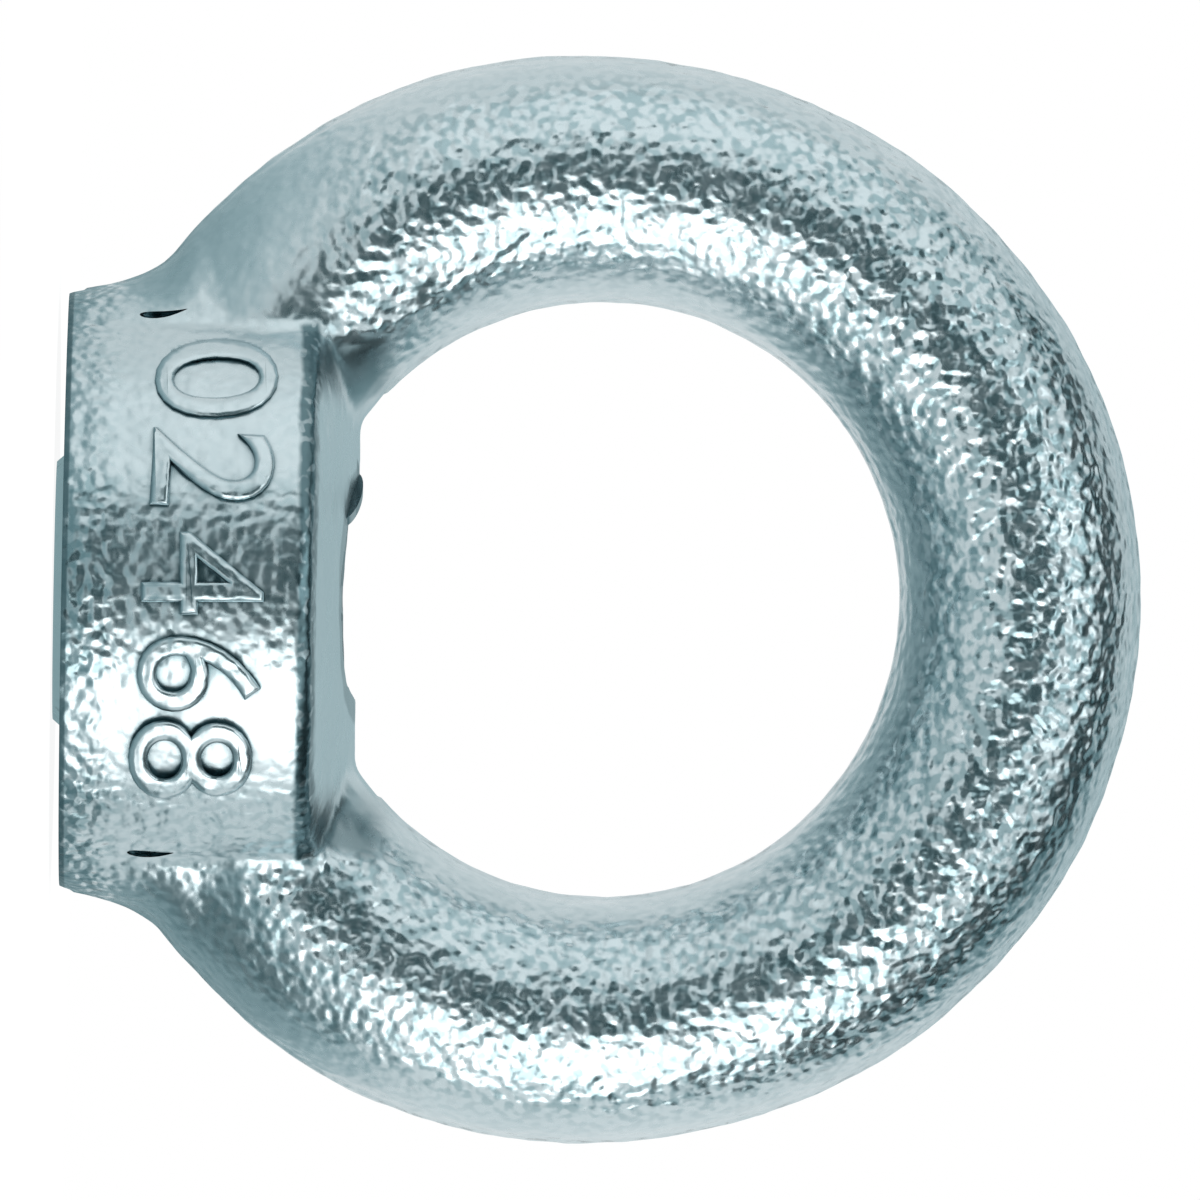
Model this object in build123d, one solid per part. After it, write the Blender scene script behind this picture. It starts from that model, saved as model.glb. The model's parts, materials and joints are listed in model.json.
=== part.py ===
"""Lifting eye nut: one drop-forged, zinc-plated steel piece, a ring on a drafted collar.

+Z is the thread axis and points up into the eye. The ring lies in the XZ plane, and the nut
stands on the raised mouth of its thread at Z = 0. All sizes are in millimetres.
"""

import os
from math import asin, atan2, cos, degrees, radians, sin, sqrt, tan

from build123d import *

# Collar: a plain cylinder whose top rises to a ridge on the forging's parting plane
collar_diameter = 24.4
rim_height = 10.75  # from Z = 0 to the rim under the eye
ridge_rise = 1.8
ridge_depth = 1.2  # of the narrow land along the ridge
ridge_inset = 0.1  # of the land's ends from the cylinder's wall
rim_radius = 0.7
seat_edge_radius = 0.3

# Ring: its inner edge is round, and it grows from the crown to the legs
eye_diameter = 24.8
eye_drop = 2.25  # how far the eye's circle runs on below the ridge, inside the collar
crown_width = 9.9  # in the ring's own plane, round its upper part
leg_width = 10.4
crown_depth = 10.0  # across the ring's plane
leg_depth = 10.5
shoulder_angle = 75.0  # from the top, down to which the ring keeps its crown's size
leg_angle = 115.0  # from the top, by which it has grown to its leg's size
tail_reach = 6.0  # from the thread's axis to where each half ends inside the collar
ring_spans = 20  # between the sections that the ring is lofted through
leg_fillet = 0.9

# Feet: the ring runs down the collar's sides to the seat
foot_stand_out = 0.1  # of each foot past the collar's wall, at the seat
foot_lean = 14.0  # of the outer edge, in degrees from upright
foot_hollow_radius = 4.0
foot_side_step = 0.19  # by which the foot is thinner than the leg, a side, at its crease
foot_swell = 0.94  # of the foot's rounded section past that crease, inside the collar
foot_run_on = 3.1  # from the hollow's upper end to the foot's, inside the ring
foot_tuck = 0.25  # how deep the foot sits inside the ring's outer edge there

# Thread: the tap drill runs right through, and its mouth stands proud of the seat
tap_drill_diameter = 8.5
entry_chamfer = 0.85
mouth_land = 0.25  # width of the mouth's crest, on Z = 0
mouth_flank = 0.35  # width of the slope from the crest to the seat
mouth_height = 0.4  # from the seat down to Z = 0

# Working margins
cut_margin = 1.0  # how far cutting shapes run past the part
edge_match = 0.01  # for picking edges by their height

# Worked out from the sizes above
eye_radius = eye_diameter / 2
collar_radius = collar_diameter / 2
seat_z = mouth_height
ridge_z = rim_height + ridge_rise
eye_centre_z = ridge_z - eye_drop + eye_radius
leg_radius = eye_radius + leg_width
tail_angle = 180 - degrees(asin(tail_reach / (eye_radius + leg_width / 2)))
crease_y = leg_depth / 2 - foot_side_step
crease_x = sqrt(collar_radius**2 - crease_y**2)
entry_radius = tap_drill_diameter / 2 + entry_chamfer
crest_radius = entry_radius + mouth_land


def ring_section(angle):
    """The ring's elliptical section at an angle from the top, with its inner edge on the eye."""
    growth = (abs(angle) - shoulder_angle) / (leg_angle - shoulder_angle)
    growth = min(max(growth, 0), 1)
    width = crown_width + (leg_width - crown_width) * growth
    depth = crown_depth + (leg_depth - crown_depth) * growth
    turn = radians(angle)
    out = Vector(sin(turn), 0, cos(turn))
    middle = Vector(0, 0, eye_centre_z) + out * (eye_radius + width / 2)
    plane = Plane(origin=middle, x_dir=out, z_dir=Vector(cos(turn), 0, -sin(turn)))
    return plane * Ellipse(width / 2, depth / 2)


def ring():
    """The ring, open inside the collar, lofted through even sections round the eye."""
    step = 2 * tail_angle / ring_spans
    return loft([ring_section(index * step - tail_angle) for index in range(ring_spans + 1)])


def at_height(edge, height):
    """Whether an edge lies level at a height."""
    box = edge.bounding_box()
    return abs(box.min.Z - height) < edge_match and abs(box.max.Z - height) < edge_match


def round_seat_edge(body):
    """The body with its lower outside edge rounded."""
    return fillet(body.edges().filter_by(lambda edge: at_height(edge, seat_z)), seat_edge_radius)


def collar():
    """The cylinder, with its top lofted from a level rim up to the ridge, and the rim rounded."""
    body = Pos(0, 0, seat_z) * Cylinder(
        collar_radius, rim_height - seat_z, align=(Align.CENTER, Align.CENTER, Align.MIN)
    )
    rim = Pos(0, 0, rim_height) * Circle(collar_radius)
    ridge = Pos(0, 0, ridge_z) * Ellipse(collar_radius - ridge_inset, ridge_depth / 2)
    body += loft([rim, ridge], ruled=True)
    rim_edge = body.edges().filter_by(lambda edge: at_height(edge, rim_height))
    body = fillet(rim_edge, rim_radius)
    return round_seat_edge(body)


def hollow():
    """Centre of the hollow beside the foot, and how far round it the foot meets the ring."""
    lean = radians(foot_lean)
    reach = leg_radius + foot_hollow_radius
    start = collar_radius + foot_stand_out - seat_z * tan(lean) + foot_hollow_radius / cos(lean)
    # The centre stands at x = start + z tan(lean), and at the given reach from the eye's centre.
    a = 1 + tan(lean) ** 2
    b = 2 * (start * tan(lean) - eye_centre_z)
    c = start**2 + eye_centre_z**2 - reach**2
    z = (-b - sqrt(b * b - 4 * a * c)) / (2 * a)
    x = start + z * tan(lean)
    return x, z, atan2(eye_centre_z - z, x)


def foot_section(tip, z):
    """A rounded level section of the foot, through both creases and out to its tip."""
    half_depth = crease_y + foot_swell
    bulge = (tip - crease_x) / (1 - sqrt(1 - (crease_y / half_depth) ** 2))
    return Pos(tip - bulge, 0, z) * Ellipse(bulge, half_depth)


def foot():
    """One foot, lofted up from the seat along its hollow edge and on into the ring."""
    x, z, last = hollow()
    first = radians(foot_lean)
    lean_top = z + foot_hollow_radius * sin(first)
    sections = []
    for share in (0, 1 / 2):
        rise = (lean_top - seat_z) * share
        tip = collar_radius + foot_stand_out + rise * tan(first)
        sections.append(foot_section(tip, seat_z + rise))
    for share in (0, 1 / 2, 1):
        angle = first + (last - first) * share
        tip = x - foot_hollow_radius * cos(angle)
        sections.append(foot_section(tip, z + foot_hollow_radius * sin(angle)))
    hollow_top = z + foot_hollow_radius * sin(last)
    for share in (1 / 2, 1):
        height = hollow_top + foot_run_on * share
        tip = sqrt(leg_radius**2 - (eye_centre_z - height) ** 2) - foot_tuck
        sections.append(foot_section(tip, height))
    return round_seat_edge(loft(sections))


def below_seat():
    """A block under the seat, which faces off whatever the ring sends below it."""
    size = 2 * leg_radius
    return Pos(0, 0, seat_z) * Box(size, size, size, align=(Align.CENTER, Align.CENTER, Align.MAX))


def forging():
    """Ring, collar and feet as one body, faced at the seat, with its leg joints rounded."""
    neck = collar()
    loop = ring() - below_seat()
    body = neck + loop
    joints = new_edges(neck, loop, combined=body).filter_by(
        lambda edge: edge.bounding_box().min.Z > rim_height
    )
    body = fillet(joints, leg_fillet)
    right_foot = foot()
    return body + right_foot + mirror(right_foot, about=Plane.YZ)


def thread_mouth():
    """The low ring round the thread's mouth: a narrow crest on Z = 0 and a sloped flank."""
    crest = Circle(crest_radius)
    root = Pos(0, 0, seat_z) * Circle(crest_radius + mouth_flank)
    return loft([crest, root], ruled=True)


def bore():
    """The tap drill right through, and the entry chamfer at the mouth."""
    radius = tap_drill_diameter / 2
    up = (Align.CENTER, Align.CENTER, Align.MIN)
    drill = Pos(0, 0, -cut_margin) * Cylinder(radius, ridge_z + 2 * cut_margin, align=up)
    flare = Pos(0, 0, -cut_margin) * Cone(
        entry_radius + cut_margin, radius, cut_margin + entry_chamfer, align=up
    )
    return drill + flare


def eye_nut():
    """The whole piece: the forging with its thread's mouth, drilled through."""
    body = forging() + thread_mouth() - bore()
    return body.solids()[0]


def main():
    """Build the one node and write it as a STEP file."""
    os.makedirs("parts", exist_ok=True)
    export_step(eye_nut(), "parts/eye_nut.step")


if __name__ == "__main__":
    main()
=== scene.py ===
"""Lifting eye nut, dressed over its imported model.

One forged body carries everything: the ring, the collar and its feet, the parting line that the
dies left, a row of plain raised numerals, and a right-hand thread cut from the seat to the eye.
It is plated with bright zinc over a grained forging, and stands on a small pale table.
"""

import json
import logging
import math
from dataclasses import dataclass
from enum import Enum
from typing import Callable

import bpy
from bpy.types import Material, MeshPolygon, Node, NodeSocket, NodeTree, Object
from mathutils import Matrix, Vector

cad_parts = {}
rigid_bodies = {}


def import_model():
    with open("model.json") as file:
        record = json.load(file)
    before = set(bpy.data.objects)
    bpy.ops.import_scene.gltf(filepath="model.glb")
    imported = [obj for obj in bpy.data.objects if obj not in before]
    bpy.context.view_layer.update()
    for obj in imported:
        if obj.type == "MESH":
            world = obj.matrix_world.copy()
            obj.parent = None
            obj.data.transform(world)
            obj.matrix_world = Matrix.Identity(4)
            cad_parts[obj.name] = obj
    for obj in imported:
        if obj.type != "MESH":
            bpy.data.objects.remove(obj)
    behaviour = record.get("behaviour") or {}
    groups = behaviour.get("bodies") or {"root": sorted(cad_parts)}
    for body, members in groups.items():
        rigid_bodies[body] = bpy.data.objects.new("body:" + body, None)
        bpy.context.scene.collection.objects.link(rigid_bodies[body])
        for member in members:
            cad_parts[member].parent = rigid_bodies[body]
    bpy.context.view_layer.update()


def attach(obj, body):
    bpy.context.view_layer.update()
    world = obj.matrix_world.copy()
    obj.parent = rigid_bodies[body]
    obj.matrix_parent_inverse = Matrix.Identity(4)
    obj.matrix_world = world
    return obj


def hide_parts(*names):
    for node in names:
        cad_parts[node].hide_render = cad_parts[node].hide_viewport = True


LOG = logging.getLogger("eye_nut")
MM = 0.001
BODY = "root"
NODE = "eye_nut"
DEFAULT_OBJECTS = ("Cube", "Light", "Camera")

Triple = tuple[float, float, float]
Span = tuple[float, float]  # where a mask is 0, then where it is 1


class Solver(Enum):
    """How two closed meshes are joined or cut."""

    JOIN = "UNION"
    CUT = "DIFFERENCE"


class Ray(Enum):
    """The kinds of ray that the table and the surroundings answer on their own."""

    CAMERA = "Is Camera Ray"
    GLOSSY = "Is Glossy Ray"
    TRANSMISSION = "Is Transmission Ray"


# ---------------------------------------------------------------- shader nodes


class Value:
    """A number socket in a node tree, which adds a Math node when it is used in an expression."""

    def __init__(self, nodes: "Nodes", socket: NodeSocket) -> None:
        """Wrap an output socket.

        Args:
            nodes: The tree that the socket belongs to.
            socket: The output that carries the number.
        """
        self.nodes = nodes
        self.socket = socket

    def _math(self, operation: str, *values: "Value | float") -> "Value":
        """Add one Math node.

        Args:
            operation: The Math node's operation.
            values: Its inputs in order.

        Returns:
            The node's result.
        """
        return self.nodes.value("ShaderNodeMath", {"operation": operation}, dict(enumerate(values)))

    def __add__(self, other: "Value | float") -> "Value":
        """Sum."""
        return self._math("ADD", self, other)

    def __radd__(self, other: float) -> "Value":
        """Sum, with the number first."""
        return self._math("ADD", other, self)

    def __sub__(self, other: "Value | float") -> "Value":
        """Difference."""
        return self._math("SUBTRACT", self, other)

    def __rsub__(self, other: float) -> "Value":
        """Difference, with the number first."""
        return self._math("SUBTRACT", other, self)

    def __mul__(self, other: "Value | float") -> "Value":
        """Product."""
        return self._math("MULTIPLY", self, other)

    def __rmul__(self, other: float) -> "Value":
        """Product, with the number first."""
        return self._math("MULTIPLY", other, self)

    def size(self) -> "Value":
        """The number without its sign."""
        return self._math("ABSOLUTE", self)

    def step(self, low: float, high: float) -> "Value":
        """A smooth step.

        Args:
            low: The number at which the step is 0.
            high: The number at which it is 1, which may be the smaller of the two.

        Returns:
            A number from 0 to 1.
        """
        return self.nodes.value(
            "ShaderNodeMapRange",
            {"interpolation_type": "SMOOTHSTEP", "clamp": True},
            {"Value": self, "From Min": low, "From Max": high, "To Min": 0.0, "To Max": 1.0},
        )

    def ramp(self, start: float, end: float, base: float = 0.0) -> "Value":
        """A smooth step on a length.

        Args:
            start: The length at which the step is 0, in millimetres.
            end: The length at which it is 1.
            base: What both are counted from.

        Returns:
            A number from 0 to 1.
        """
        return self.step((base + start) * MM, (base + end) * MM)


class Nodes:
    """A node tree that is emptied, then filled by one method."""

    def __init__(self, tree: NodeTree) -> None:
        """Empty the tree.

        Args:
            tree: A material's or world's node tree.
        """
        tree.nodes.clear()
        self.tree = tree

    def add(self, kind: str, settings: dict | None = None,
            inputs: dict | None = None) -> Node:
        """Add any node.

        Args:
            kind: The node's type.
            settings: What is set on the node itself, before its sockets.
            inputs: Values or links for its sockets, by name or number.

        Returns:
            The node.
        """
        node = self.tree.nodes.new(kind)
        for name, value in (settings or {}).items():
            setattr(node, name, value)
        for name, value in (inputs or {}).items():
            self._feed(node.inputs[name], value)
        return node

    def value(self, kind: str, settings: dict | None = None, inputs: dict | None = None,
              output: str | int = 0) -> Value:
        """Add a node and wrap one of its outputs.

        Args:
            kind: The node's type.
            settings: What is set on the node itself.
            inputs: Values or links for its sockets.
            output: The output, by name or number.

        Returns:
            The wrapped output.
        """
        return Value(self, self.add(kind, settings, inputs).outputs[output])

    def distance(self, place: NodeSocket, middle: Triple,
                 weights: Triple = (1.0, 1.0, 1.0)) -> Value:
        """How far each point lies from a middle.

        Args:
            place: The point's place.
            middle: The middle, in millimetres.
            weights: How much each axis counts, where 0 leaves it out.

        Returns:
            The distance, in metres.
        """
        offset = self.add(
            "ShaderNodeVectorMath", {"operation": "MULTIPLY_ADD"},
            {0: place, 1: weights, 2: tuple(-w * side * MM for w, side in zip(weights, middle))},
        )
        return self.value(
            "ShaderNodeVectorMath", {"operation": "LENGTH"}, {0: offset.outputs[0]}, "Value"
        )

    def mix(self, share: Value, start: "Triple | NodeSocket",
            end: "Triple | NodeSocket") -> NodeSocket:
        """Mix two colours.

        Args:
            share: How much there is of the second.
            start: The first colour, or the socket that carries it.
            end: The second.

        Returns:
            The socket that carries the mixture.
        """
        ends = [(*colour, 1.0) if isinstance(colour, tuple) else colour for colour in (start, end)]
        inputs = {"Factor": share, 6: ends[0], 7: ends[1]}
        return self.add("ShaderNodeMix", {"data_type": "RGBA"}, inputs).outputs[2]

    def _feed(self, socket: NodeSocket, value: object) -> None:
        """Give a socket its value or link it.

        Args:
            socket: The socket.
            value: A number, colour or vector, or an output to link.
        """
        if isinstance(value, Value):
            self.tree.links.new(value.socket, socket)
        elif isinstance(value, NodeSocket):
            self.tree.links.new(value, socket)
        else:
            socket.default_value = value


# ---------------------------------------------------------------- mesh handling


def activate(obj: Object) -> None:
    """Make one object the only selected one.

    Args:
        obj: The object that the next operators act on.
    """
    for other in bpy.context.selected_objects:
        other.select_set(False)
    obj.select_set(True)
    bpy.context.view_layer.objects.active = obj


def select_faces(obj: Object, wanted: Callable[[MeshPolygon], bool]) -> int:
    """Select the faces that a test accepts, and nothing else.

    Args:
        obj: A mesh object, out of edit mode.
        wanted: The test, given each face.

    Returns:
        How many faces are selected.
    """
    mesh = obj.data
    mesh.vertices.foreach_set("select", [False] * len(mesh.vertices))
    mesh.edges.foreach_set("select", [False] * len(mesh.edges))
    picked = [wanted(face) for face in mesh.polygons]
    mesh.polygons.foreach_set("select", picked)
    return sum(picked)


def select_all() -> None:
    """Select the whole mesh in edit mode."""
    bpy.ops.mesh.select_all(action="SELECT")


def face_outwards() -> None:
    """Turn the selected faces' normals outwards in edit mode."""
    bpy.ops.mesh.normals_make_consistent(inside=False)


def edit(obj: Object, mode: str, *steps: Callable[[], object]) -> None:
    """Run operators in edit mode on one object.

    Args:
        obj: The mesh object.
        mode: Which elements are picked: VERT, EDGE or FACE.
        steps: The operators, each as a call without arguments.
    """
    activate(obj)
    bpy.ops.object.mode_set(mode="EDIT")
    bpy.ops.mesh.select_mode(type=mode)
    for step in steps:
        step()
    bpy.ops.object.mode_set(mode="OBJECT")


def modify(obj: Object, kind: str, **settings: object) -> None:
    """Add a modifier and apply it.

    Args:
        obj: The mesh object.
        kind: The modifier's type.
        settings: The modifier's settings.
    """
    activate(obj)
    modifier = obj.modifiers.new(kind.lower(), kind)
    for name, value in settings.items():
        setattr(modifier, name, value)
    bpy.ops.object.modifier_apply(modifier=modifier.name)


def combine(obj: Object, tool: Object, solver: Solver) -> None:
    """Join a closed mesh to another or cut it away, and delete it.

    Args:
        obj: The mesh that is kept.
        tool: The mesh that is joined or cut away.
        solver: Which of the two.
    """
    before = len(obj.data.vertices)
    modify(obj, "BOOLEAN", operation=solver.value, object=tool, solver="MANIFOLD")
    if len(obj.data.vertices) == before:
        raise RuntimeError(f"{tool.name} left {obj.name} as it was: one of the two isn't closed")
    bpy.data.objects.remove(tool, do_unlink=True)


def settle(obj: Object) -> None:
    """Put an object's place into its mesh, so that the object itself sits at the origin.

    Args:
        obj: The object.
    """
    activate(obj)
    bpy.ops.object.transform_apply(location=True, rotation=True, scale=True)


# ---------------------------------------------------------------- the nut's parts


@dataclass
class Proportions:
    """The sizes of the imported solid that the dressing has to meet, in millimetres."""

    wall_radius: float = 12.2
    rim_height: float = 10.75
    ridge_height: float = 12.55
    eye_height: float = 22.7
    seat_height: float = 0.4
    drill_radius: float = 4.25
    entry_radius: float = 5.1  # of the chamfer, on the mouth's crest
    crest_radius: float = 5.35
    root_radius: float = 5.7  # of the raised mouth, on the seat
    burr_middle: Triple = (-3.95, -1.85, 12.2)  # of a burr on the bore's top edge


@dataclass
class Numerals:
    """A row of plain numerals that the die raised on the collar's front."""

    sizes: Proportions
    # Each numeral with its middle's x, its foot's z, its lean in degrees and how far it stands out
    row: tuple[tuple[str, float, float, float, float], ...] = (
        ("0", -8.75, 4.2, 3.0, 0.22),
        ("2", -5.2, 4.1, -2.0, 0.34),
        ("4", -0.7, 3.75, 1.0, 0.42),
        ("6", 3.3, 3.7, -1.5, 0.44),
        ("8", 6.95, 3.4, 1.5, 0.44),
    )
    height: float = 5.2
    font_share: float = 0.73  # how much of the font's size a numeral's height is
    thicker: float = -0.19  # added to each side of a stroke's top
    edge: float = 0.26  # rounding from a stroke's top down to its side
    root: float = 0.6  # how far each numeral reaches into the wall
    curve_steps: int = 6
    edge_steps: int = 3
    weld: float = 0.002  # how near two vertices lie to become one

    def one(self, figure: str, x: float, z: float, lean: float,
            stand_out: float) -> Object:
        """Model one numeral on the wall.

        Args:
            figure: The numeral.
            x: Its middle.
            z: Its foot.
            lean: Its turn in degrees, against the clock from the front.
            stand_out: How far it stands out of the wall.

        Returns:
            The numeral's closed mesh, wrapped to the wall.
        """
        bpy.ops.object.text_add(location=(0, 0, 0))
        text = bpy.context.object
        text.data.body = figure
        text.data.align_x = "CENTER"
        text.data.size = self.height / self.font_share * MM
        text.data.offset = self.thicker * MM
        text.data.extrude = ((stand_out + self.root) / 2 - self.edge) * MM
        text.data.bevel_depth = self.edge * MM
        text.data.bevel_resolution = self.edge_steps
        text.data.resolution_u = self.curve_steps
        bpy.ops.object.convert(target="MESH")
        text.matrix_world = (
            Matrix.Translation((x * MM, 0, z * MM))
            @ Matrix.Rotation(math.radians(90), 4, "X")
            @ Matrix.Rotation(math.radians(lean), 4, "Z")
        )
        settle(text)
        self.wrap(text, stand_out)
        edit(
            text, "VERT", select_all,
            lambda: bpy.ops.mesh.remove_doubles(threshold=self.weld * MM),
            face_outwards,
        )
        return text

    def wrap(self, text: Object, stand_out: float) -> None:
        """Bend a flat numeral round the wall, with its front standing out evenly.

        Args:
            text: The numeral's mesh, flat on the XZ plane.
            stand_out: How far it stands out of the wall.
        """
        radius = self.sizes.wall_radius * MM
        middle = (stand_out - self.root) / 2 * MM
        for vertex in text.data.vertices:
            x, y, _ = vertex.co
            wall = math.sqrt(radius * radius - x * x)
            vertex.co.y = -wall - (middle - y) * radius / wall

    def join(self, body: Object) -> None:
        """Raise the whole row on the forging's wall.

        Args:
            body: The forging.
        """
        row = [self.one(*place) for place in self.row]
        activate(row[0])
        for numeral in row:
            numeral.select_set(True)
        bpy.ops.object.join()
        combine(body, row[0], Solver.JOIN)
        LOG.info("numerals: %d raised on the collar", len(self.row))


@dataclass
class Thread:
    """The machined mouth, drilled bore and right-hand thread, in millimetres."""

    sizes: Proportions
    pitch: float = 1.5
    major_radius: float = 5.05
    root_flat: float = 0.19
    flank_angle: float = 30.0  # degrees from square to the axis
    steps: int = 64  # round one turn
    overrun: float = 1.5  # how far the tap runs past both ends
    tooth_lap: float = 0.25  # how far inside the drilled wall the tap's tooth starts
    mouth_hold: float = 1.0  # how far the mouth's ring reaches into the forging
    mouth_lap: float = 0.1  # how far it leans inwards there
    weld: float = 0.0005

    def turned(self, name: str, profile: list[tuple[float, float]]) -> Object:
        """Spin a profile round the thread's axis.

        Args:
            name: The new object's name.
            profile: Radius and height of each corner, in millimetres. It closes on itself, or on
                the axis where it starts there.

        Returns:
            The closed solid.
        """
        mesh = bpy.data.meshes.new(name)
        corners = [(radius * MM, 0.0, height * MM) for radius, height in profile]
        count = len(corners)
        edges = [(i, (i + 1) % count) for i in range(count)]
        mesh.from_pydata(corners, edges[:-1] if profile[0][0] == 0 else edges, [])
        solid = bpy.data.objects.new(name, mesh)
        bpy.context.collection.objects.link(solid)
        edit(
            solid, "VERT", select_all,
            lambda: bpy.ops.mesh.spin(
                steps=2 * self.steps, angle=math.tau, center=(0, 0, 0), axis=(0, 0, 1)
            ),
            select_all,
            lambda: bpy.ops.mesh.remove_doubles(threshold=self.weld * MM),
            face_outwards,
        )
        return solid

    def mouth(self) -> Object:
        """The low ring round the thread's mouth, with some body above it to hold on to.

        Returns:
            The closed ring.
        """
        s = self.sizes
        inside, top = s.drill_radius - self.mouth_hold, s.seat_height + self.mouth_hold
        return self.turned("mouth", [
            (inside, 0), (s.crest_radius, 0), (s.root_radius, s.seat_height),
            (s.root_radius - self.mouth_lap, top), (inside, top),
        ])

    def drill(self) -> Object:
        """The drill and the countersink at the mouth, as one cutter.

        Returns:
            The closed cutter.
        """
        s = self.sizes
        below, above = -self.overrun, s.ridge_height + self.overrun
        depth = s.entry_radius - s.drill_radius
        return self.turned("drill", [
            (0, below), (s.entry_radius - below, below), (s.drill_radius, depth),
            (s.drill_radius, above), (0, above),
        ])

    def tap(self) -> Object:
        """The tap's thread: one tooth wound up the axis.

        Returns:
            The closed, wound solid.
        """
        inner = self.sizes.drill_radius - self.tooth_lap
        depth = self.major_radius - inner
        flank = self.root_flat / 2 + depth * math.tan(math.radians(self.flank_angle))
        start = -self.overrun - self.pitch
        turns = math.ceil((self.sizes.ridge_height + 3 * self.overrun) / self.pitch) + 1
        tooth = [
            (inner, start - flank), (self.major_radius, start - self.root_flat / 2),
            (self.major_radius, start + self.root_flat / 2), (inner, start + flank),
        ]
        mesh = bpy.data.meshes.new("tap")
        corners = [(radius * MM, 0.0, height * MM) for radius, height in tooth]
        mesh.from_pydata(corners, [(0, 1), (1, 2), (2, 3), (3, 0)], [])
        wound = bpy.data.objects.new("tap", mesh)
        bpy.context.collection.objects.link(wound)
        modify(
            wound, "SCREW", axis="Z", angle=math.tau, screw_offset=self.pitch * MM,
            iterations=turns, steps=self.steps, render_steps=self.steps, use_smooth_shade=False,
        )
        edit(
            wound, "VERT",
            lambda: bpy.ops.mesh.select_all(action="DESELECT"),
            lambda: bpy.ops.mesh.select_non_manifold(),
            lambda: bpy.ops.mesh.fill_holes(sides=0),
            select_all,
            face_outwards,
        )
        return wound

    def cut(self, body: Object) -> None:
        """Add the mouth, then drill and tap the forging.

        Args:
            body: The forging.
        """
        combine(body, self.mouth(), Solver.JOIN)
        combine(body, self.drill(), Solver.CUT)
        combine(body, self.tap(), Solver.CUT)
        LOG.info("thread: %.1f mm pitch, %.1f mm across its grooves",
                 self.pitch, 2 * self.major_radius)


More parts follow.
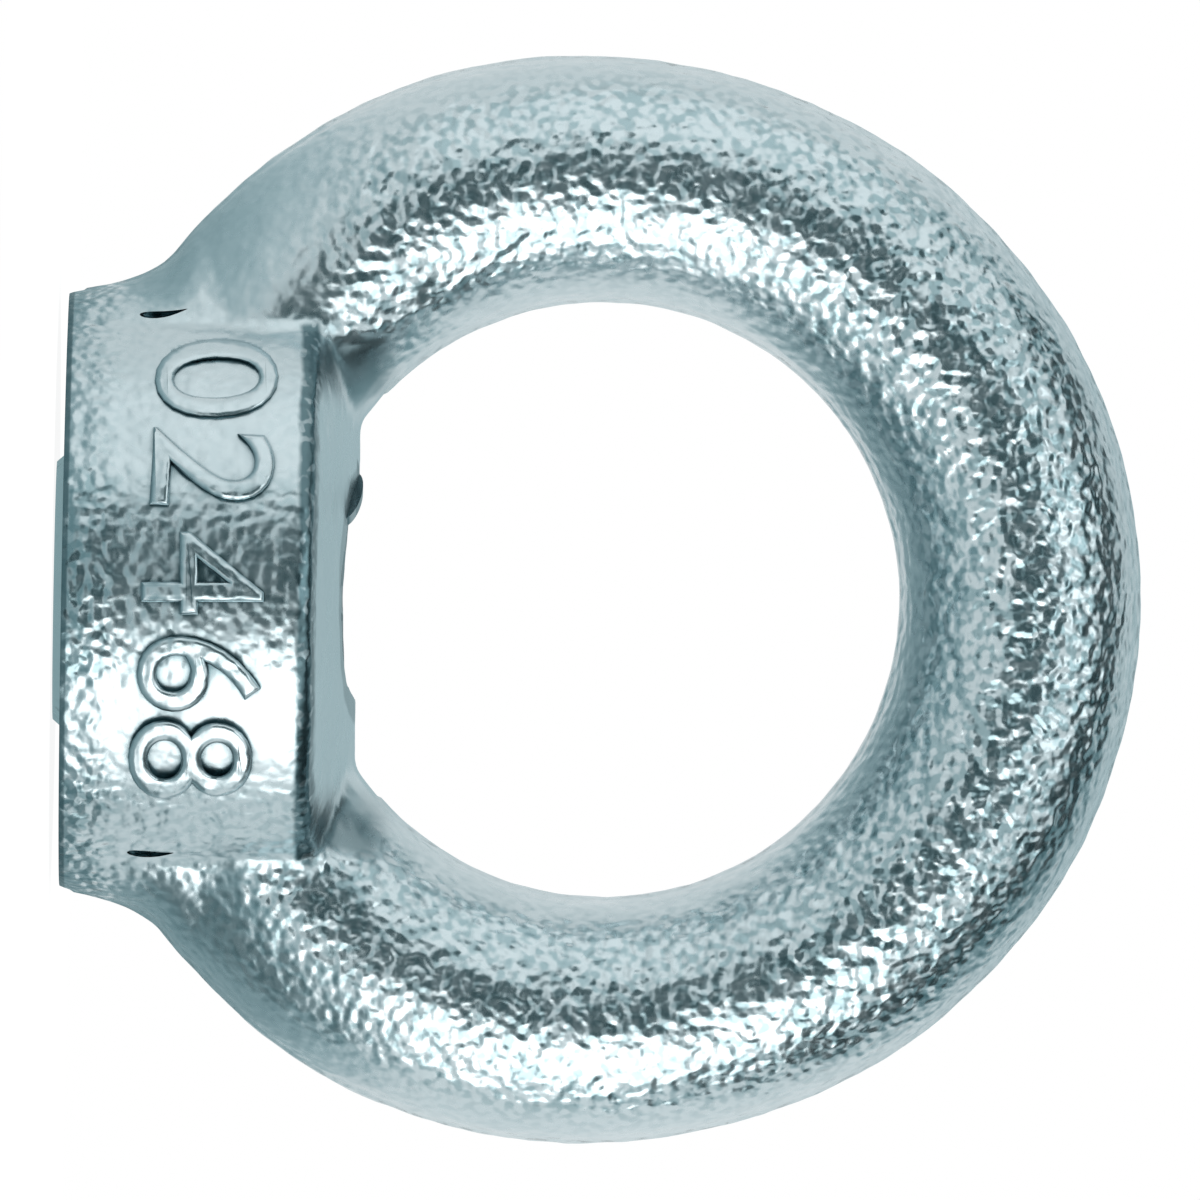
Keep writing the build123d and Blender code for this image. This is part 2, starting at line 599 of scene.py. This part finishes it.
@dataclass
class Forging:
    """The forged body: ring, collar and feet, with the dies' parting line and an uneven skin.

    Lengths are in millimetres.
    """

    sizes: Proportions
    voxel: float = 0.24
    quick_voxel: float = 0.34
    softening: int = 4  # rounds of smoothing, which round each edge a little
    rim_softening: int = 14  # more rounds on the collar's rim
    smoothing: float = 0.5  # how far a round moves each vertex
    rim_band: float = 0.9  # how far above and below the rim they reach
    smooth_angle: float = 38.0  # degrees, past which an edge looks sharp
    weld: float = 0.002
    source_weld: float = 0.001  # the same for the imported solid
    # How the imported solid's faces are told apart
    tolerance: float = 0.01
    bore_band: float = 0.15  # how far outside the drill's radius a face of the bore may lie
    bore_tilt: float = 0.3  # and how far its normal may lean up or down
    entry_band: float = 0.05  # how far outside the chamfer's radius one of its faces may lie
    stock: float = 0.25  # left under the seat until it is faced
    slab: float = 60.0  # across the block that faces it
    seat_edge: float = 0.3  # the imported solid's rounding there
    underside_tilt: float = -0.4  # a normal's height, below which that rounding is faced too
    rolled_tilt: float = -0.95  # the same on the +X foot, where it is kept
    rolled_from: float = 11.5  # the x beyond which it is
    land_half: float = 0.62  # half the width of the trimmed parting line
    land_fade: float = 0.28
    land_height: float = 0.07
    land_foot: float = 1.0  # the height at which it starts
    roof_margin: float = 1.0  # how far above the ridge the roof, which it skips, may lie
    land_tilt: float = 0.5  # how far a normal leans out of the parting plane, or up on the roof
    # Wave length and height of the skin's unevenness
    waves: tuple[tuple[float, float], ...] = ((4.5, 0.14), (1.25, 0.08))
    wave_depth: int = 2
    wave_levels: int = 10  # how finely its strength is set
    calm: float = 1.5  # height above the seat over which the unevenness sets in
    collar_wave: float = 0.35  # how uneven the collar's wall is beside the ring
    collar_margin: float = 0.3  # how far outside its wall that holds
    # Nicks on the creases: middle, length and turn in degrees
    nicks: tuple[tuple[Triple, float, float], ...] = (
        ((-11.6, -4.7, 4.35), 2.0, 8.0),
        ((10.75, -5.5, 4.2), 2.1, -1.0),
    )
    nick_width: float = 0.36
    nick_depth: float = 1.08
    nick_taper: float = 1.25  # the lower end's share of its width, which falls by 1 to the upper
    nick_bow: float = 0.3
    nick_sides: int = 20
    # The burr's length, thickness and height, then how far it turns round the bore and how far it
    # dips, in degrees
    burr_size: Triple = (3.8, 0.4, 0.9)
    burr_turn: float = 60.0
    burr_dip: float = 8.0
    burr_sides: int = 48

    def blank(self) -> Object:
        """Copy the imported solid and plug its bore, ready to be reworked.

        Returns:
            The closed copy, without its mouth and bore.
        """
        source = bpy.data.objects[NODE]
        body = bpy.data.objects.new("forged_body", source.data.copy())
        body.data.materials.clear()
        bpy.context.collection.objects.link(body)
        edit(
            body, "VERT", select_all,
            lambda: bpy.ops.mesh.remove_doubles(threshold=self.source_weld * MM),
        )
        select_faces(body, self.is_machined)
        edit(
            body, "FACE",
            lambda: bpy.ops.mesh.delete(type="FACE"),
            lambda: bpy.ops.mesh.select_mode(type="VERT"),
            lambda: bpy.ops.mesh.select_non_manifold(),
            lambda: bpy.ops.mesh.fill_holes(sides=0),
        )
        select_faces(body, self.is_underside)
        edit(
            body, "FACE",
            lambda: bpy.ops.transform.translate(value=(0, 0, -self.stock * MM)),
        )
        return body

    def face_seat(self, body: Object) -> None:
        """Machine the seat flat and crisp.

        Args:
            body: The roughened forging, with its stock below the seat.
        """
        depth = 2 * self.stock
        middle = self.sizes.seat_height - depth / 2
        bpy.ops.mesh.primitive_cube_add(size=1, location=(0, 0, middle * MM))
        tool = bpy.context.object
        tool.scale = (self.slab * MM, self.slab * MM, depth * MM)
        settle(tool)
        combine(body, tool, Solver.CUT)

    def is_underside(self, face: MeshPolygon) -> bool:
        """Whether a face belongs to the seat or the lower part of the rounding round it.

        Args:
            face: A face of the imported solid.

        Returns:
            True if it is faced with the seat.
        """
        rolled = face.center.x > self.rolled_from * MM
        tilt = self.rolled_tilt if rolled else self.underside_tilt
        low = face.center.z < (self.sizes.seat_height + self.seat_edge) * MM
        return low and face.normal.z < tilt

    def is_machined(self, face: MeshPolygon) -> bool:
        """Whether a face belongs to the mouth, its countersink or the bore.

        Args:
            face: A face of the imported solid.

        Returns:
            True if it goes before the forging is reworked.
        """
        s = self.sizes
        centre = face.center / MM
        radius = math.hypot(centre.x, centre.y)
        depth = s.entry_radius - s.drill_radius
        bore = radius < s.drill_radius + self.bore_band and abs(face.normal.z) < self.bore_tilt
        mouth = centre.z < s.seat_height - self.tolerance
        countersink = radius < s.entry_radius + self.entry_band and centre.z < depth + self.tolerance
        return bore or mouth or countersink

    def remesh(self, body: Object) -> None:
        """Give the body one even mesh with softened edges.

        Args:
            body: The plugged copy.
        """
        size = self.voxel
        modify(body, "REMESH", mode="VOXEL", voxel_size=size * MM, adaptivity=0.0)
        modify(body, "SMOOTH", factor=self.smoothing, iterations=self.softening)
        s = self.sizes
        rim = body.vertex_groups.new(name="rim")
        rim.add([
            vertex.index for vertex in body.data.vertices
            if abs(vertex.co.z / MM - s.rim_height) < self.rim_band
            and abs(math.hypot(vertex.co.x, vertex.co.y) / MM - s.wall_radius) < self.rim_band
        ], 1.0, "REPLACE")
        modify(body, "SMOOTH", factor=self.smoothing, iterations=self.rim_softening, vertex_group="rim")
        body.vertex_groups.clear()

    def trim_line(self, body: Object) -> None:
        """Raise the trimmed parting line round the ring and down both feet.

        Args:
            body: The even mesh.
        """
        s = self.sizes
        normals = [vertex.normal.copy() for vertex in body.data.vertices]
        for vertex, normal in zip(body.data.vertices, normals):
            x, y, z = vertex.co / MM
            share = 1 - min(max((abs(y) - self.land_half) / self.land_fade, 0), 1)
            over_collar = abs(x) < s.wall_radius and z < s.ridge_height + self.roof_margin
            on_roof = over_collar and normal.z > self.land_tilt
            if share <= 0 or z < self.land_foot or on_roof or abs(normal.y) > self.land_tilt:
                continue
            out = Vector((normal.x, 0, normal.z)).normalized()
            vertex.co += out * self.land_height * MM * share * share * (3 - 2 * share)

    def roughen(self, body: Object) -> None:
        """Make the skin uneven, apart from the seat.

        Args:
            body: The even mesh.
        """
        skin = "skin"
        group = body.vertex_groups.new(name=skin)
        levels: dict[int, list[int]] = {}
        s = self.sizes
        for vertex in body.data.vertices:
            x, y, z = vertex.co / MM
            share = min(max((z - s.seat_height) / self.calm, 0), 1)
            if z < s.rim_height and math.hypot(x, y) < s.wall_radius + self.collar_margin:
                share *= self.collar_wave
            levels.setdefault(round(self.wave_levels * share), []).append(vertex.index)
        for level, members in levels.items():
            group.add(members, level / self.wave_levels, "REPLACE")
        for index, (length, height) in enumerate(self.waves):
            cloud = bpy.data.textures.new(f"wave_{index}", "CLOUDS")
            cloud.noise_scale = length * MM
            cloud.noise_depth = self.wave_depth
            modify(
                body, "DISPLACE", texture=cloud, texture_coords="LOCAL", mid_level=0.5,
                strength=height * MM, vertex_group=skin,
            )
        body.vertex_groups.clear()

    def nick(self, body: Object, middle: Triple, length: float, turn: float) -> None:
        """Cut one small nick into a crease.

        Args:
            body: The forging.
            middle: The nick's middle.
            length: Its length.
            turn: Its turn in degrees, against the clock from the front.
        """
        bpy.ops.mesh.primitive_uv_sphere_add(
            segments=self.nick_sides, ring_count=self.nick_sides // 2, radius=0.5 * MM
        )
        tool = bpy.context.object
        for vertex in tool.data.vertices:
            share = vertex.co.z / MM + 0.5
            bow = self.nick_bow * MM * math.sin(math.pi * share)
            vertex.co.x = vertex.co.x * (self.nick_taper - share) + bow
        tool.matrix_world = (
            Matrix.Translation(Vector(middle) * MM)
            @ Matrix.Rotation(math.radians(-turn), 4, "Y")
            @ Matrix.Diagonal((self.nick_width, self.nick_depth, length, 1))
        )
        settle(tool)
        combine(body, tool, Solver.CUT)

    def burr(self, body: Object) -> None:
        """Leave a burr along the bore's top edge.

        Args:
            body: The forging, drilled and tapped.
        """
        long, thick, high = self.burr_size
        bpy.ops.mesh.primitive_cylinder_add(
            vertices=self.burr_sides, radius=0.5 * MM, depth=thick * MM, rotation=(math.pi / 2, 0, 0)
        )
        tool = bpy.context.object
        settle(tool)
        tool.matrix_world = (
            Matrix.Translation(Vector(self.sizes.burr_middle) * MM)
            @ Matrix.Rotation(math.radians(-self.burr_turn), 4, "Z")
            @ Matrix.Rotation(math.radians(self.burr_dip), 4, "Y")
            @ Matrix.Diagonal((long, 1, high, 1))
        )
        settle(tool)
        combine(body, tool, Solver.JOIN)

    def build(self, numerals: Numerals, thread: Thread) -> Object:
        """Model the whole piece.

        Args:
            numerals: The raised row.
            thread: The machined mouth and thread.

        Returns:
            The finished mesh.
        """
        body = self.blank()
        self.remesh(body)
        self.trim_line(body)
        self.roughen(body)
        self.face_seat(body)
        numerals.join(body)
        for place in self.nicks:
            self.nick(body, *place)
        thread.cut(body)
        self.burr(body)
        edit(
            body, "VERT", select_all,
            lambda: bpy.ops.mesh.remove_doubles(threshold=self.weld * MM),
            lambda: bpy.ops.mesh.quads_convert_to_tris(),
        )
        body.data.polygons.foreach_set("material_index", [0] * len(body.data.polygons))
        body.data.materials.clear()
        activate(body)
        bpy.ops.object.shade_smooth_by_angle(angle=math.radians(self.smooth_angle))
        LOG.info("%s: %d triangles", body.name, len(body.data.polygons))
        return body


# ---------------------------------------------------------------- finish


class Surface:
    """What the plating is worked out from: each point's place, the noises and the regions."""

    def __init__(self, nodes: Nodes, plating: "ZincPlating") -> None:
        """Read the place, lay out the noises and find the regions.

        Args:
            nodes: The material's nodes.
            plating: The plating, whose spans bound the regions.
        """
        p, s = plating, plating.sizes
        self.nodes = nodes
        self.place = nodes.add("ShaderNodeTexCoord").outputs["Object"]
        axes = nodes.add("ShaderNodeSeparateXYZ", None, {0: self.place})
        across, height = Value(nodes, axes.outputs["X"]), Value(nodes, axes.outputs["Z"])
        radius = nodes.distance(self.place, (0, 0, 0), (1, 1, 0))
        self.across, self.height, self.radius = across, height, radius
        self.grain, self.pebble = self.noise(p.grain), self.noise(p.pebble)
        self.speck, self.cloud = self.noise(p.speck), self.noise(p.cloud)
        low_foot = across.ramp(*p.low_foot, s.wall_radius)
        self.on_ring = (height + low_foot * (p.foot_drop * MM)).ramp(*p.ring_skin)
        gap = across.ramp(*p.gap_start) * across.ramp(*p.gap_end)
        self.patch = across.ramp(*p.patch_start) * (1 - gap)
        self.on_roof = (
            height.ramp(*p.roof_foot, s.rim_height) * height.ramp(*p.roof_top)
            * radius.ramp(*p.roof_side, s.wall_radius)
        )
        # The lip below the seat: it carries a painted highlight and no painted corner shade
        self.turned = height.ramp(*p.below_seat, s.seat_height)

    def noise(self, kind: Triple) -> Value:
        """Noise over the surface.

        Args:
            kind: Millimetres from one bump to the next, detail and roughness.

        Returns:
            A number from 0 to 1.
        """
        size, detail, rough = kind
        return self.nodes.value(
            "ShaderNodeTexNoise", {"noise_dimensions": "3D"},
            {"Vector": self.place, "Scale": 1 / (size * MM), "Detail": detail, "Roughness": rough},
            "Fac",
        )

    def line(self, height: Value, middle: float, half: float) -> Value:
        """A level line.

        Args:
            height: The height, which may stray.
            middle: The line's own height, in millimetres.
            half: Half its width.

        Returns:
            1 on the line, and 0 away from it.
        """
        return (height - middle * MM).size().ramp(2 * half, half)


@dataclass(frozen=True)
class ZincPlating:
    """Bright zinc over a grained forging.

    Lengths are in millimetres. A span gives the place where a mask is 0 and the one where it is 1.
    """

    sizes: Proportions
    name: str = "bright_zinc"
    colour: Triple = (0.515, 0.612, 0.64)
    deep_colour: Triple = (0.27, 0.39, 0.42)  # between the grains
    painted_shade_colour: Triple = (0.1, 0.17, 0.19)  # painted shade, in corners and on the painted dark lines
    lip_highlight_colour: Triple = (0.86, 0.9, 0.91)  # painted highlight below the seat, on the mouth's lip
    roughness: float = 0.28
    roughness_swing: float = 0.16
    # The noises: from one bump to the next, detail and roughness
    grain: Triple = (0.47, 0.4, 0.5)
    pebble: Triple = (1.7, 2.0, 0.55)
    speck: Triple = (0.4, 0.5, 0.5)
    cloud: Triple = (9.0, 3.0, 0.6)
    grain_height: float = 0.14
    pebble_height: float = 0.14
    # Where the collar's finer skin gives way to the ring's
    ring_skin: Span = (9.0, 13.0)
    low_foot: Span = (-1.6, -0.3)  # the +X foot, from the collar's wall outwards
    foot_drop: float = 4.0  # how much lower the ring's skin sets in there
    # How grained the collar is beside the ring, and how much more it is in places
    collar_share: float = 0.28
    patch_share: float = 0.35  # in its two patches
    patch_start: Span = (-5.5, -4.0)
    gap_start: Span = (2.6, 4.6)  # between the two
    gap_end: Span = (8.6, 7.2)
    seat_share: float = 0.5  # down by the seat
    by_seat: Span = (3.2, 1.6)
    # How much more the ring is grained at its crown, and how much is left in other places
    crown_share: float = 0.3
    crown: Span = (28.0, 36.0)
    flank_share: float = 0.35  # on its flanks, by the eye and round the outside
    eye_flank: Span = (12.7, 14.2)
    outer_flank: Span = (22.3, 20.8)
    roof_share: float = 0.15  # on the roof
    roof_foot: Span = (-0.5, 0.0)  # from the rim's height
    roof_top: Span = (14.5, 13.0)
    roof_side: Span = (-0.3, -1.0)  # from the collar's wall
    # Where the deep colour shows: its least share, and what the grain's square adds
    pits: Span = (0.32, 0.6)
    pit_shares: tuple[float, float] = (0.05, 0.8)
    clouds: Span = (0.7, 0.3)
    cloud_share: float = 0.15
    patch_dulling: float = 0.15
    # The painted dark line of shade along the roof's rim
    rim_drop: float = 0.24  # how far below the rim it runs
    rim_line: float = 0.25  # half its width
    rim_wander: float = 0.5  # how far it strays
    rim_inside: Span = (-1.4, -1.1)  # from the collar's wall
    rim_outside: Span = (0.3, 0.1)
    rim_breaks: Span = (0.56, 0.68)
    break_share: float = 0.4
    # The other places of painted shade, each with its share
    seat_line: float = 0.09  # half the width of the painted shadow line along the seat's edge
    seat_line_share: float = 0.8
    bore_edge_shade: Span = (5.5, 5.2)
    bore_share: float = 0.6
    hollow_ends: Span = (7.5, 10.0)  # at the roof's two ends
    hollow_share: float = 0.75
    burr_reach: Span = (2.0, 1.8)
    burr_foot: Span = (12.42, 12.48)
    corner: float = 0.65  # how far from a corner the painted shade reaches
    corner_open: Span = (0.92, 0.45)  # how open it is there
    corner_samples: int = 8
    below_seat: Span = (0.01, -0.01)  # from the seat's height

    def graining(self, at: Surface) -> Value:
        """Work out how strongly the skin is grained.

        Args:
            at: The surface.

        Returns:
            The grain's share.
        """
        from_eye = at.nodes.distance(at.place, (0, 0, self.sizes.eye_height), (1, 0, 1))
        on_face = from_eye.ramp(*self.eye_flank) * from_eye.ramp(*self.outer_flank)
        more = at.patch * self.patch_share + at.height.ramp(*self.by_seat) * self.seat_share
        ring = 1 - self.collar_share + at.height.ramp(*self.crown) * self.crown_share
        return (
            (self.collar_share + (1 - at.on_ring) * more + at.on_ring * ring)
            * (1 - at.on_roof * (1 - self.roof_share))
            * (1 - at.on_ring * (1 - on_face) * (1 - self.flank_share))
        )

    def light_left_by_painted_shade(self, at: Surface) -> Value:
        """Work out what the painted shade in corners and along dark lines leaves of the plating's
        colour.

        Args:
            at: The surface.

        Returns:
            1 on the open skin, and less where shade is painted: in corners, round the roof and the
            bore, and at the seat.
        """
        s = self.sizes
        # Painted shade in corners, from ambient occlusion, kept off the lip below the seat
        open_air = at.nodes.value(
            "ShaderNodeAmbientOcclusion", {"samples": self.corner_samples},
            {"Distance": self.corner * MM}, "AO",
        )
        # A painted dark line of shade just below the rim, wandering and broken in places
        wander = (at.pebble - 0.5) * (self.rim_wander * MM)
        rim = (
            at.line(at.height - wander, s.rim_height - self.rim_drop, self.rim_line)
            * (1 - at.speck.step(*self.rim_breaks) * self.break_share)
            * at.radius.ramp(*self.rim_inside, s.wall_radius)
            * at.radius.ramp(*self.rim_outside, s.wall_radius)
        )
        # Painted shade along the seat's edge, round the bore's edge, at the roof's two ends and on the
        # burr
        seat_edge = at.line(at.height, s.seat_height + self.seat_line, self.seat_line)
        bore_edge_shade = at.on_roof * at.radius.ramp(*self.bore_edge_shade)
        hollow_shade = at.on_roof * at.across.size().ramp(*self.hollow_ends)
        from_burr = at.nodes.distance(at.place, s.burr_middle)
        burr = from_burr.ramp(*self.burr_reach) * at.height.ramp(*self.burr_foot)
        return (
            (1 - open_air.step(*self.corner_open) * (1 - at.turned))
            * (1 - rim)
            * (1 - self.seat_line_share * seat_edge)
            * (1 - self.hollow_share * hollow_shade)
            * (1 - self.bore_share * bore_edge_shade)
            * (1 - burr)
        )

    def material(self) -> Material:
        """Make the plating.

        Returns:
            The material.
        """
        material = bpy.data.materials.new(self.name)
        material.use_nodes = True
        nodes = Nodes(material.node_tree)
        at = Surface(nodes, self)
        graining = self.graining(at)
        height = (at.grain * self.grain_height + at.pebble * self.pebble_height) * graining
        bump = nodes.add("ShaderNodeBump", None, {"Strength": 1.0, "Distance": MM, "Height": height})
        least, more = self.pit_shares
        pits = (1 - at.speck.step(*self.pits)) * (least + graining * graining * more)
        clouds = self.cloud_share * at.cloud.step(*self.clouds)
        clean = 1 - pits - clouds - (1 - at.on_ring) * at.patch * self.patch_dulling
        skin = nodes.mix(clean, self.deep_colour, self.colour)
        # The lip below the seat gets a painted highlight colour
        plated = nodes.mix(at.turned, skin, self.lip_highlight_colour)
        # Painted shade pulls the colour towards the painted shade colour
        shader = nodes.add(
            "ShaderNodeBsdfPrincipled", None,
            {"Base Color": nodes.mix(self.light_left_by_painted_shade(at), self.painted_shade_colour, plated),
             "Metallic": 1.0,
             "Roughness": self.roughness + (at.pebble - 0.5) * self.roughness_swing,
             "Normal": bump.outputs["Normal"]},
        )
        nodes.add("ShaderNodeOutputMaterial", None, {"Surface": shader.outputs[0]})
        return material


# ---------------------------------------------------------------- studio


@dataclass(frozen=True)
class Card:
    """A card of the studio, dark or bright, as the metal sees it from the nut."""

    towards: Triple
    half_width: float  # degrees
    edge: float  # degrees over which it fades
    light: float  # what it sends back, where 1 is the white around it
    along: Triple | None = None  # a strip card's long direction


@dataclass
class Studio:
    """White surroundings with cards, one soft lamp, a small pale table and the camera.

    Lengths are in millimetres, apart from the lamp's, which are in metres.
    """

    lens: float = 1400.0
    sensor: float = 36.0
    frame_width: float = 49.79  # across the picture at the nut
    clip_range: float = 20.0  # how many times nearer and further than the nut the camera sees
    centre: Triple = (0.01, 0.0, 22.62)
    roll: float = 1.0  # degrees
    lamp_angle: float = 45.0  # degrees from straight ahead towards +X
    lamp_distance: float = 3.2
    lamp_size: float = 3.15
    lamp_light: float = 2.3
    lamp_colour: Triple = (1.0, 0.9, 0.87)
    table_radius: float = 70.0
    table_sides: int = 128
    table_edge: float = 2.0  # how wide its sloping edge is
    table_drop: float = 1.5  # and how far it falls
    table_paint: float = 0.9
    table_glow: float = 0.85  # how much of the table's light is its own
    table_lift: float = 0.08  # added to it, so that the table's side is as white as the air
    # How bright that light is in the metal under the nut, with the middle and reach of the painted
    # shade
    table_in_metal: float = 0.4
    shade_middle: Triple = (6.0, 13.0, 0.0)
    shade_reach: Span = (56.0, 20.0)
    # The same for a darker patch of painted shade beside the +X foot, which is stretched along X
    spot_in_metal: float = 0.35
    spot_middle: Triple = (29.0, -8.0, 0.0)
    spot_reach: Span = (13.0, 4.0)
    spot_weights: Triple = (0.6, 1.0, 0.0)
    strip_ends: Span = (70.0, 45.0)  # degrees over which a strip card's ends set in
    card_tint: Triple = (0.45, 1.0, 1.12)  # of a fully dark card
    cards: tuple[Card, ...] = (
        Card((-0.12, -0.96, 0.22), 26.5, 10, 0.1),
        Card((0.33, 0.08, 0.94), 17, 10, 0.03, along=(0.94, -0.31, -0.16)),
        Card((-0.06, -0.6, 0.8), 13, 9, 2.2),
        Card((0.9, 0.4, 0.0), 35, 40, 1.05),
        Card((0.5, 0.47, 0.73), 17, 14, 0.4),
        Card((0.0, 0.97, 0.26), 16, 20, 0.65),
        Card((-0.85, -0.5, 0.15), 30, 30, 1.25),
        Card((0.0, 0.75, 0.65), 25, 30, 0.92),
    )

    def camera(self) -> None:
        """Place the camera square to the ring, with the thread's axis level in the picture."""
        data = bpy.data.cameras.new("camera")
        data.lens, data.sensor_width = self.lens, self.sensor
        distance = self.frame_width / self.sensor * self.lens * MM
        data.clip_start, data.clip_end = distance / self.clip_range, distance * self.clip_range
        camera = bpy.data.objects.new("camera", data)
        bpy.context.collection.objects.link(camera)
        c, s = math.cos(math.radians(self.roll)), math.sin(math.radians(self.roll))
        right, up, back = Vector((-s, 0, c)), Vector((-c, 0, -s)), Vector((0, -1, 0))
        place = Vector(self.centre) * MM + back * distance
        turn = Matrix((right, up, back)).transposed().to_4x4()
        camera.matrix_world = Matrix.Translation(place) @ turn
        bpy.context.scene.camera = camera

    def table_top(self) -> Object:
        """Model a small round table top with a sloping edge.

        Returns:
            The table top.
        """
        bpy.ops.mesh.primitive_circle_add(
            vertices=self.table_sides, radius=self.table_radius * MM, fill_type="NGON",
            location=(0, 0, 0),
        )
        table = bpy.context.object
        table.name = "table"
        edit(
            table, "FACE", select_all,
            lambda: bpy.ops.mesh.inset(thickness=self.table_edge * MM),
        )
        select_faces(table, lambda face: len(face.vertices) < self.table_sides)
        edit(
            table, "FACE",
            lambda: bpy.ops.mesh.extrude_region_move(
                TRANSFORM_OT_translate={"value": (0, 0, -self.table_drop * MM)}
            ),
        )
        return table

    def table(self) -> None:
        """Stand the nut on the table, which keeps its shadow and carries painted shade near it, seen
        only in the metal.
        """
        material = bpy.data.materials.new("pale_table")
        material.use_nodes = True
        nodes = Nodes(material.node_tree)
        paint = nodes.add("ShaderNodeBsdfDiffuse", None, {"Color": (*[self.table_paint] * 3, 1.0)})
        path = nodes.add("ShaderNodeLightPath")
        camera, glossy, transmission = (Value(nodes, path.outputs[ray.value]) for ray in Ray)
        place = nodes.add("ShaderNodeTexCoord").outputs["Object"]
        # Painted shade on the table under the nut and beside the +X foot, seen only in the metal's
        # reflections
        near = nodes.distance(place, self.shade_middle).ramp(*self.shade_reach)
        spot = nodes.distance(place, self.spot_middle, self.spot_weights).ramp(*self.spot_reach)
        shade = (1 - near * (1 - self.table_in_metal)) * (1 - spot * (1 - self.spot_in_metal))
        strength = 1 - glossy * (1 - shade)
        tint = nodes.mix(strength, self.card_tint, (1.0, 1.0, 1.0))
        glow = nodes.add(
            "ShaderNodeEmission", None,
            {"Color": tint, "Strength": strength + camera * self.table_lift},
        )
        mix = nodes.add(
            "ShaderNodeMixShader", None,
            {0: (camera + glossy + transmission) * self.table_glow, 1: paint.outputs[0],
             2: glow.outputs[0]},
        )
        nodes.add("ShaderNodeOutputMaterial", None, {"Surface": mix.outputs[0]})
        table = self.table_top()
        table.data.materials.append(material)

    def shade(self, nodes: Nodes, card: Card) -> Value:
        """How much of the white a card leaves in each direction.

        Args:
            nodes: The world's nodes.
            card: The card.

        Returns:
            1 away from the card, and the card's light on it.
        """
        sight = nodes.add("ShaderNodeTexCoord").outputs["Generated"]

        def along(direction: Vector) -> Value:
            """Find the share of the sight line that runs along a direction."""
            return nodes.value(
                "ShaderNodeVectorMath", {"operation": "DOT_PRODUCT"},
                {0: sight, 1: tuple(direction)}, "Value",
            )

        middle = Vector(card.towards).normalized()
        fade = [math.radians(card.half_width + side * card.edge / 2) for side in (1, -1)]
        if card.along is None:
            mask = along(middle).step(*map(math.cos, fade))
        else:
            strip = Vector(card.along)
            strip = (strip - middle * strip.dot(middle)).normalized()
            width = along(middle.cross(strip)).size().step(*map(math.sin, fade))
            ends = (math.cos(math.radians(angle)) for angle in self.strip_ends)
            mask = width * along(middle).step(*ends)
        return 1 - mask * (1 - card.light)

    def surroundings(self) -> None:
        """Make the surroundings white for every ray, with the cards seen in the metal alone."""
        world = bpy.data.worlds.new("studio")
        world.use_nodes = True
        bpy.context.scene.world = world
        nodes = Nodes(world.node_tree)
        shade = self.shade(nodes, self.cards[0])
        for card in self.cards[1:]:
            shade = shade * self.shade(nodes, card)
        glossy = nodes.value("ShaderNodeLightPath", output=Ray.GLOSSY.value)
        strength = 1 - glossy * (1 - shade)
        tint = nodes.mix(strength, self.card_tint, (1.0, 1.0, 1.0))
        back = nodes.add("ShaderNodeBackground", None, {"Color": tint, "Strength": strength})
        nodes.add("ShaderNodeOutputWorld", None, {"Surface": back.outputs[0]})

    def lamp(self) -> None:
        """Hang one large soft lamp in front, off to the +X side."""
        data = bpy.data.lights.new("softbox", "AREA")
        data.shape, data.size = "DISK", self.lamp_size
        area = math.pi * self.lamp_size**2 / 4
        data.energy = self.lamp_light * math.pi * area
        data.color = self.lamp_colour
        lamp = bpy.data.objects.new("softbox", data)
        bpy.context.collection.objects.link(lamp)
        angle = math.radians(self.lamp_angle)
        way = Vector((math.sin(angle), -math.cos(angle), 0.0)).normalized()
        place = Vector(self.centre) * MM + way * self.lamp_distance
        turn = way.to_track_quat("Z", "Y").to_matrix().to_4x4()
        lamp.matrix_world = Matrix.Translation(place) @ turn

    def build(self) -> None:
        """Set up the camera, table, surroundings and lamp."""
        self.camera()
        self.table()
        self.surroundings()
        self.lamp()
        bpy.context.scene.view_settings.view_transform = "Standard"
        LOG.info("studio: %d cards, one lamp", len(self.cards))


def main() -> None:
    """Load the frame, model the nut over it, plate it and set up the studio."""
    logging.basicConfig(level=logging.INFO, format="%(name)s: %(message)s")
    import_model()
    for obj in [o for o in bpy.data.objects if o.name in DEFAULT_OBJECTS]:
        bpy.data.objects.remove(obj, do_unlink=True)
    sizes = Proportions()
    body = Forging(sizes).build(Numerals(sizes), Thread(sizes))
    body.data.materials.append(ZincPlating(sizes).material())
    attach(body, BODY)
    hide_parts(NODE)
    Studio().build()


if __name__ == "__main__":
    main()
